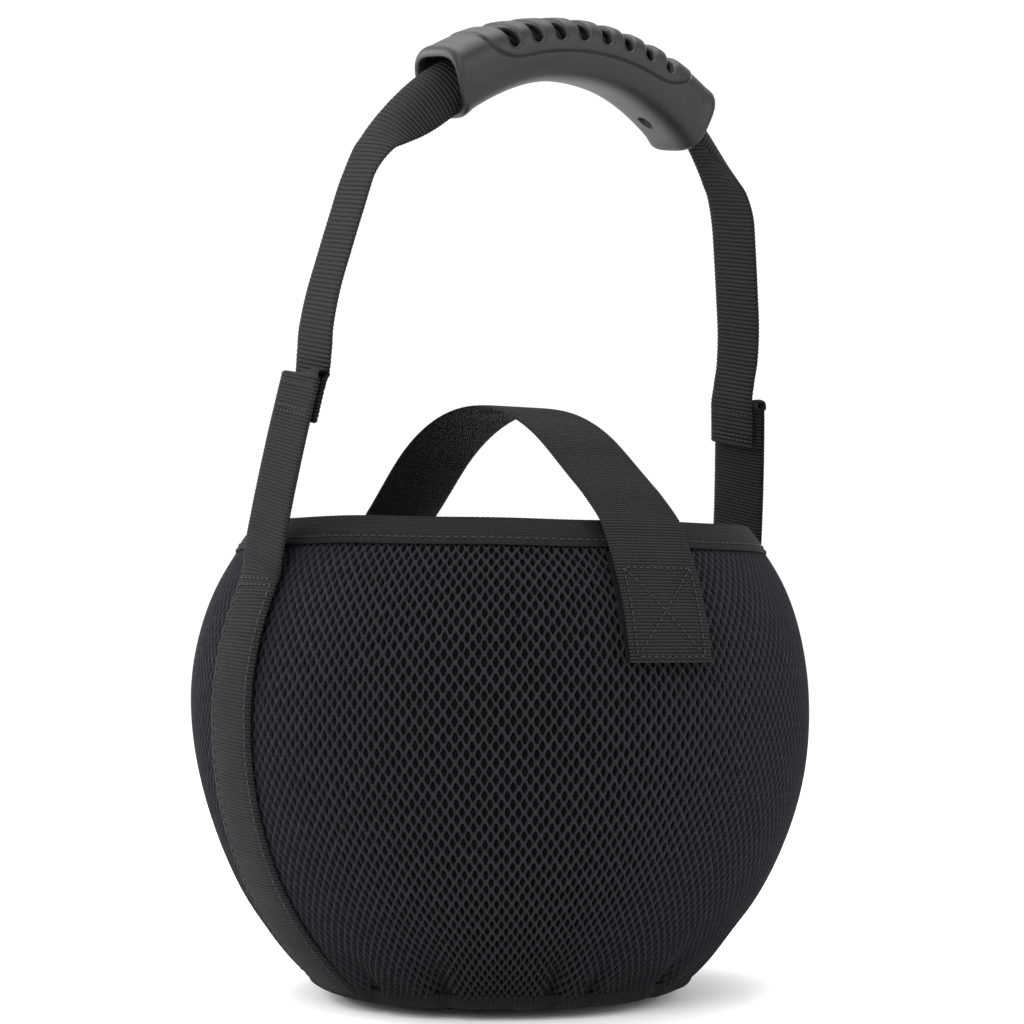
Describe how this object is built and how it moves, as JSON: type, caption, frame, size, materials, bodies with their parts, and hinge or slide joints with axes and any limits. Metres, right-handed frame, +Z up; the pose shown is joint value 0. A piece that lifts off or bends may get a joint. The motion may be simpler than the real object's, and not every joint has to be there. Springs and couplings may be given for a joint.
{
  "type": "bowling ball bag",
  "caption": "Round mesh carrier for one bowling ball, with a webbing handle, a moulded grip and a closing strap over the open top.",
  "frame": {"origin": "middle of the flat bottom of the base panel, on the floor", "axes": "+Z up, front of the bag (the side with the stuck-down strap end) towards -Y, +X to the right seen from the front"},
  "size_m": [0.2346, 0.2388, 0.3589],
  "materials": {
    "mesh_fabric": "matt black spacer mesh with open diamond cells",
    "lining_fabric": "plain black woven lining",
    "webbing": "black ribbed polypropylene webbing",
    "binding_tape": "black grosgrain tape with a fine cross rib",
    "base_fabric": "black coated woven fabric",
    "foam": "dark grey foam pad covered in thin fabric",
    "hook_and_loop": "black hook and loop tape",
    "moulded_plastic": "black moulded plastic with a fine satin grain",
    "screw_metal": "black-coated steel screw"
  },
  "bodies": {
    "pouch": {"base_panel": "base_fabric", "base_pad": "foam", "base_binding": "binding_tape", "front_mesh_panel": "mesh_fabric", "back_mesh_panel": "mesh_fabric", "front_lining": "lining_fabric", "back_lining": "lining_fabric", "rim_binding_front": "binding_tape", "rim_binding_back": "binding_tape", "side_webbing_left": "webbing", "side_webbing_right": "webbing", "loop_patch": "hook_and_loop", "closing_strap_anchor": "webbing"},
    "handle": {"lower_strap_left": "webbing", "lower_strap_right": "webbing", "upper_strap_left": "webbing", "upper_strap_right": "webbing"},
    "grip": {"grip_body": "moulded_plastic", "grip_cover": "moulded_plastic", "grip_webbing": "webbing", "grip_screw_left": "screw_metal", "grip_screw_right": "screw_metal"},
    "crown_rear": {"closing_strap_rear": "webbing"},
    "crown_front": {"closing_strap_front": "webbing"},
    "tab": {"closing_strap_tab": "webbing", "hook_patch": "hook_and_loop"}
  },
  "joints": [
    {"name": "handle_swing", "type": "hinge", "parent": "pouch", "child": "handle", "pos_m": [0, -0.01323, 0.17947], "axis": [1, 0, 0], "range_deg": [-94, 77]},
    {"name": "grip_roll", "type": "hinge", "parent": "handle", "child": "grip", "pos_m": [0, -0.04403, 0.32953], "axis": [1, 0, 0], "range_deg": [-20, 20]},
    {"name": "strap_open", "type": "hinge", "parent": "pouch", "child": "crown_rear", "pos_m": [0.00738, 0.09586, 0.17689], "axis": [-0.9971, 0.0767, 0], "range_deg": [0, 96]},
    {"name": "strap_flex", "type": "hinge", "parent": "crown_rear", "child": "crown_front", "pos_m": [0, 0, 0.218], "axis": [-0.9971, 0.0767, 0], "range_deg": [-38.4, 0]},
    {"name": "tab_peel", "type": "hinge", "parent": "crown_front", "child": "tab", "pos_m": [-0.00739, -0.0961, 0.17707], "axis": [-0.9971, 0.0767, 0], "range_deg": [0, 75]}
  ],
  "couplings": [
    {"joint": "strap_flex", "follows": "strap_open", "ratio": -0.4}
  ]
}
